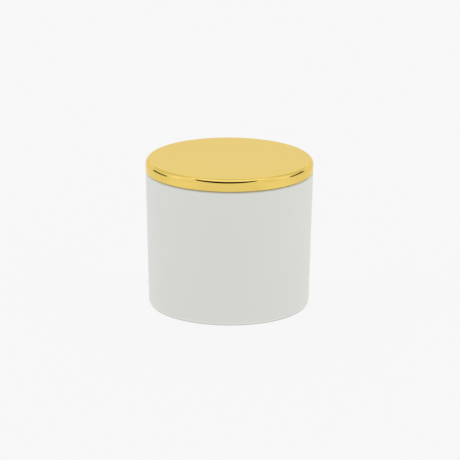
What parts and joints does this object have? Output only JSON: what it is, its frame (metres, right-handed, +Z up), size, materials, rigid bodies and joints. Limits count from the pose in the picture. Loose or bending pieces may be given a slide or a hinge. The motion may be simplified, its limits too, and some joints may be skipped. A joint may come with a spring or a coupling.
{
  "type": "cosmetic cream jar",
  "caption": "Round double-wall cream jar with a slightly tapered white body, a cup inside, a lift-out sealing disc and a flat polished gold screw lid.",
  "frame": {"origin": "centre of the standing ring, on the surface that the jar stands on", "axes": "+Z up along the jar's axis; the body is round, so +X and +Y are free; the disc's finger tab lies along X"},
  "size_m": [0.06, 0.06, 0.0537],
  "materials": {
    "moulded_white_jar": "semi-gloss moulded plastic",
    "natural_white_cup": "satin moulded polypropylene",
    "silver_film_label": "blank satin film",
    "soft_white_disc": "soft matte polyethylene",
    "foam_liner": "closed-cell foam with a film skin",
    "moulded_white_core": "satin moulded polypropylene",
    "zinc_plated_steel": "zinc plated",
    "polished_gold_lid": "polished, gold anodised"
  },
  "bodies": {
    "jar": {"outer_jar": "moulded_white_jar", "inner_cup": "natural_white_cup", "base_label": "silver_film_label"},
    "liner": {"cap_liner": "foam_liner"},
    "lid": {"cap_core": "moulded_white_core", "cap_weight": "zinc_plated_steel", "cap_shell": "polished_gold_lid"},
    "disc": {"sealing_disc": "soft_white_disc"}
  },
  "joints": [
    {"name": "cap_rise", "type": "slide", "parent": "jar", "child": "liner", "axis": [0, 0, 1], "range_m": [0, 0.024]},
    {"name": "cap_turn", "type": "hinge", "parent": "liner", "child": "lid", "pos_m": [0, 0, 0.0497], "axis": [0, 0, 1], "range_deg": [0, 720]},
    {"name": "disc_lift", "type": "slide", "parent": "jar", "child": "disc", "axis": [0, 0, 1], "range_m": [0, 0.012]}
  ],
  "couplings": [
    {"joint": "cap_rise", "follows": "cap_turn", "m_per_rad": 0.0019098},
    {"joint": "disc_lift", "follows": "cap_turn", "m_per_rad": 0.0009549}
  ]
}
